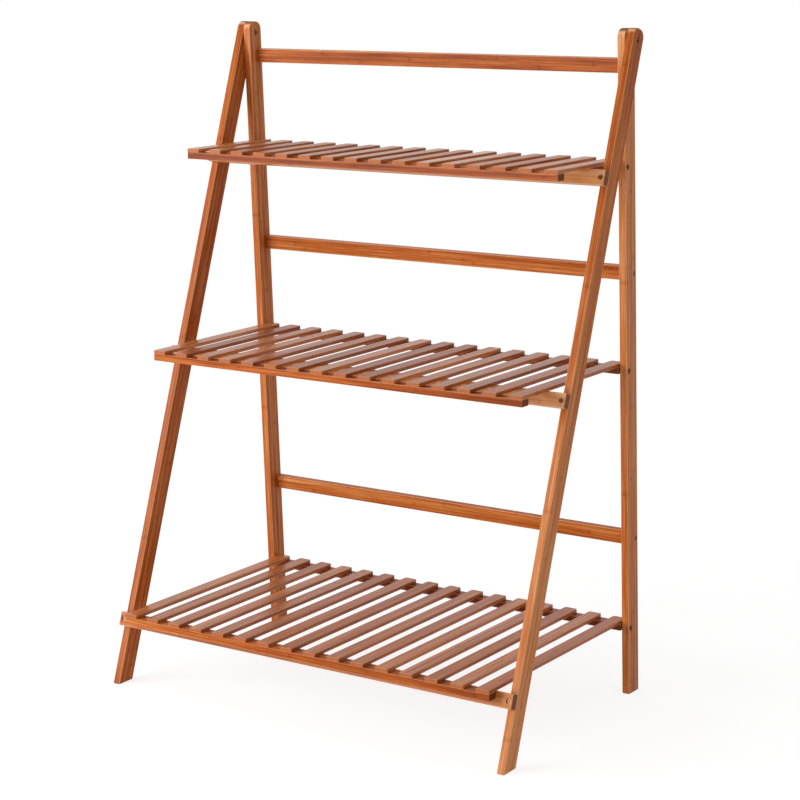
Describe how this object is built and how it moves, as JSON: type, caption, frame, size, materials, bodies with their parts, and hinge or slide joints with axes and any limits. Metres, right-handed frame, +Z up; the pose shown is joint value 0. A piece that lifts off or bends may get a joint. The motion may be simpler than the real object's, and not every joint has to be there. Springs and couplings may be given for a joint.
{
  "type": "plant stand",
  "caption": "Folding tiered plant stand: slatted bamboo shelves pivot on the rear posts and rest on the crossbars of a front frame that swings shut.",
  "frame": {"origin": "on the floor, in the middle of the footprint", "axes": "+X to the right along the shelves, +Y to the back, +Z up"},
  "size_m": [0.69, 0.4022, 0.9705],
  "materials": {
    "bamboo_frame": "orange-brown varnished laminated bamboo, semi-gloss",
    "bamboo_crossbar": "lighter orange-brown varnished bamboo, semi-gloss",
    "bamboo_shelf": "orange-brown varnished bamboo slats, semi-gloss",
    "steel_fastener": "brown-bronzed plated steel"
  },
  "bodies": {
    "rear_frame": {"rear_post_left": "bamboo_frame", "rear_post_right": "bamboo_frame", "rear_rail_top": "bamboo_frame", "rear_rail_middle": "bamboo_frame", "rear_rail_low": "bamboo_frame", "top_pivot_bolt_left": "steel_fastener", "top_pivot_bolt_right": "steel_fastener", "top_pivot_nut_left": "steel_fastener", "top_pivot_nut_right": "steel_fastener"},
    "front_frame": {"front_leg_left": "bamboo_frame", "front_leg_right": "bamboo_frame", "crossbar_top": "bamboo_crossbar", "crossbar_middle": "bamboo_crossbar", "crossbar_bottom": "bamboo_crossbar"},
    "shelf_top": {"shelf_top_frame": "bamboo_shelf", "shelf_top_slat_02": "bamboo_shelf", "shelf_top_slat_03": "bamboo_shelf", "shelf_top_slat_04": "bamboo_shelf", "shelf_top_slat_05": "bamboo_shelf", "shelf_top_slat_07": "bamboo_shelf", "shelf_top_slat_08": "bamboo_shelf", "shelf_top_slat_09": "bamboo_shelf", "shelf_top_slat_10": "bamboo_shelf", "shelf_top_slat_12": "bamboo_shelf", "shelf_top_slat_13": "bamboo_shelf", "shelf_top_slat_14": "bamboo_shelf", "shelf_top_slat_15": "bamboo_shelf", "shelf_top_bolt_left": "steel_fastener", "shelf_top_bolt_right": "steel_fastener"},
    "shelf_middle": {"shelf_middle_frame": "bamboo_shelf", "shelf_middle_slat_02": "bamboo_shelf", "shelf_middle_slat_03": "bamboo_shelf", "shelf_middle_slat_04": "bamboo_shelf", "shelf_middle_slat_05": "bamboo_shelf", "shelf_middle_slat_07": "bamboo_shelf", "shelf_middle_slat_08": "bamboo_shelf", "shelf_middle_slat_09": "bamboo_shelf", "shelf_middle_slat_10": "bamboo_shelf", "shelf_middle_slat_12": "bamboo_shelf", "shelf_middle_slat_13": "bamboo_shelf", "shelf_middle_slat_14": "bamboo_shelf", "shelf_middle_slat_15": "bamboo_shelf", "shelf_middle_bolt_left": "steel_fastener", "shelf_middle_bolt_right": "steel_fastener"},
    "shelf_bottom": {"shelf_bottom_frame": "bamboo_shelf", "shelf_bottom_slat_02": "bamboo_shelf", "shelf_bottom_slat_03": "bamboo_shelf", "shelf_bottom_slat_04": "bamboo_shelf", "shelf_bottom_slat_05": "bamboo_shelf", "shelf_bottom_slat_07": "bamboo_shelf", "shelf_bottom_slat_08": "bamboo_shelf", "shelf_bottom_slat_09": "bamboo_shelf", "shelf_bottom_slat_10": "bamboo_shelf", "shelf_bottom_slat_12": "bamboo_shelf", "shelf_bottom_slat_13": "bamboo_shelf", "shelf_bottom_slat_14": "bamboo_shelf", "shelf_bottom_slat_15": "bamboo_shelf", "shelf_bottom_bolt_left": "steel_fastener", "shelf_bottom_bolt_right": "steel_fastener"}
  },
  "joints": [
    {"name": "front_frame_fold", "type": "hinge", "parent": "rear_frame", "child": "front_frame", "pos_m": [0, 0.15081, 0.953], "axis": [1, 0, 0], "range_deg": [0, 21.2]},
    {"name": "top_shelf_lift", "type": "hinge", "parent": "rear_frame", "child": "shelf_top", "pos_m": [0, 0.14933, 0.77932], "axis": [-1, 0, 0], "range_deg": [0, 87.5]},
    {"name": "middle_shelf_lift", "type": "hinge", "parent": "rear_frame", "child": "shelf_middle", "pos_m": [0, 0.16026, 0.48803], "axis": [-1, 0, 0], "range_deg": [0, 87.5]},
    {"name": "bottom_shelf_lift", "type": "hinge", "parent": "rear_frame", "child": "shelf_bottom", "pos_m": [0, 0.17475, 0.1023], "axis": [-1, 0, 0], "range_deg": [0, 87.5]}
  ]
}
